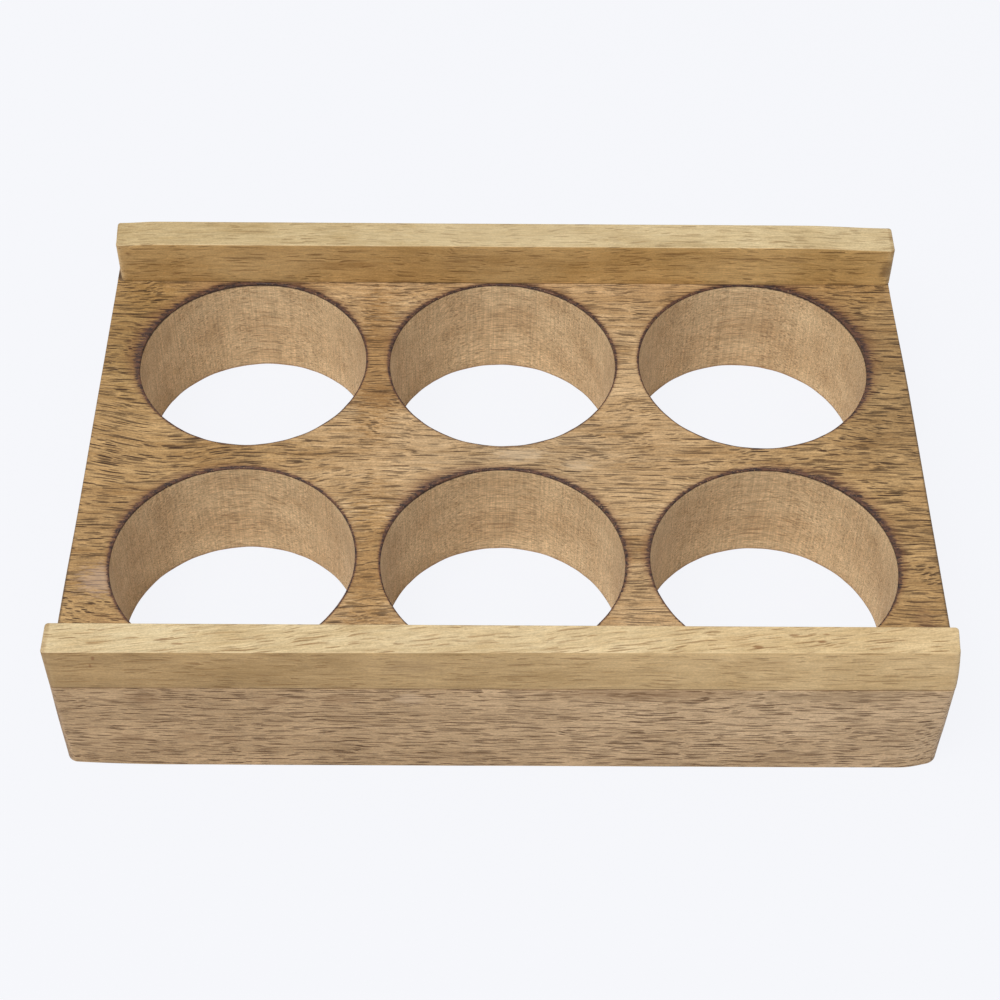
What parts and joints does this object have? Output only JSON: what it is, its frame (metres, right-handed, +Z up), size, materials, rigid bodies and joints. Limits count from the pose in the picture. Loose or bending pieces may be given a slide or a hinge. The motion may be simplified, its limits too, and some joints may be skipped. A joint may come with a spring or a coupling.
{
  "type": "egg holder tray",
  "caption": "Thick wooden countertop tray with round through bores that hold eggs upright, and a low rail glued along each long edge.",
  "frame": {"origin": "centre of the underside, where the tray stands on the counter", "axes": "+X along the length, towards the viewer's right; +Y from the front rail towards the back rail; +Z up"},
  "size_m": [0.203, 0.14, 0.043],
  "materials": {
    "board_wood": "sanded, matt, scorched round the bore rims",
    "front_rail_wood": "sanded, matt, the palest of the three",
    "back_rail_wood": "sanded, matt"
  },
  "bodies": {
    "root": {"board": "board_wood", "front_rail": "front_rail_wood", "back_rail": "back_rail_wood"}
  },
  "joints": []
}
